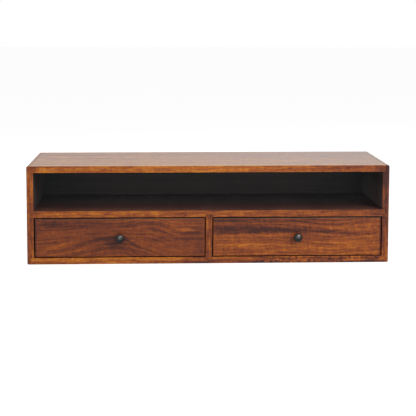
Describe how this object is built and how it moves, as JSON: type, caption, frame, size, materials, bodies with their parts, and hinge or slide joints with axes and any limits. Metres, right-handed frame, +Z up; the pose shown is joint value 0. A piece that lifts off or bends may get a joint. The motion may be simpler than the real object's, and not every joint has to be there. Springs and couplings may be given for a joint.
{
  "type": "floating media console",
  "caption": "Wall-hung solid-wood media console: a long low box with an open niche above side-by-side inset drawers with round dark iron knobs.",
  "frame": {"origin": "in the plane of the underside, below the middle of the space that the console and its knobs take up", "axes": "+X along the width towards the right drawer, +Y from the front to the wall, +Z up"},
  "size_m": [1.1, 0.376, 0.3],
  "materials": {
    "case_wood": "satin lacquer over a chestnut stain",
    "drawer_front_wood": "satin lacquer over a chestnut stain",
    "drawer_box_wood": "sanded, thin clear coat",
    "back_wood": "stained, matte",
    "black_iron": "blackened and waxed",
    "hanger_steel": "zinc plated",
    "screw_steel": "zinc plated"
  },
  "bodies": {
    "case": {"top_panel": "case_wood", "bottom_panel": "case_wood", "left_side": "case_wood", "right_side": "case_wood", "middle_shelf": "case_wood", "centre_divider": "case_wood", "back_panel": "back_wood", "hanging_rail": "back_wood", "left_hanger": "hanger_steel", "left_hanger_upper_screw": "screw_steel", "left_hanger_lower_screw": "screw_steel", "right_hanger": "hanger_steel", "right_hanger_upper_screw": "screw_steel", "right_hanger_lower_screw": "screw_steel", "left_drawer_left_runner": "drawer_box_wood", "left_drawer_left_runner_front_screw": "screw_steel", "left_drawer_left_runner_rear_screw": "screw_steel", "left_drawer_right_runner": "drawer_box_wood", "left_drawer_right_runner_front_screw": "screw_steel", "left_drawer_right_runner_rear_screw": "screw_steel", "right_drawer_left_runner": "drawer_box_wood", "right_drawer_left_runner_front_screw": "screw_steel", "right_drawer_left_runner_rear_screw": "screw_steel", "right_drawer_right_runner": "drawer_box_wood", "right_drawer_right_runner_front_screw": "screw_steel", "right_drawer_right_runner_rear_screw": "screw_steel"},
    "left_drawer": {"left_drawer_front": "drawer_front_wood", "left_drawer_left_side": "drawer_box_wood", "left_drawer_right_side": "drawer_box_wood", "left_drawer_back": "drawer_box_wood", "left_drawer_bottom": "drawer_box_wood", "left_drawer_knob": "black_iron", "left_drawer_knob_screw": "screw_steel", "left_drawer_bottom_screw": "screw_steel"},
    "right_drawer": {"right_drawer_front": "drawer_front_wood", "right_drawer_left_side": "drawer_box_wood", "right_drawer_right_side": "drawer_box_wood", "right_drawer_back": "drawer_box_wood", "right_drawer_bottom": "drawer_box_wood", "right_drawer_knob": "black_iron", "right_drawer_knob_screw": "screw_steel", "right_drawer_bottom_screw": "screw_steel"}
  },
  "joints": [
    {"name": "left_drawer_slide", "type": "slide", "parent": "case", "child": "left_drawer", "axis": [0, -1, 0], "range_m": [0, 0.24]},
    {"name": "right_drawer_slide", "type": "slide", "parent": "case", "child": "right_drawer", "axis": [0, -1, 0], "range_m": [0, 0.24]}
  ]
}
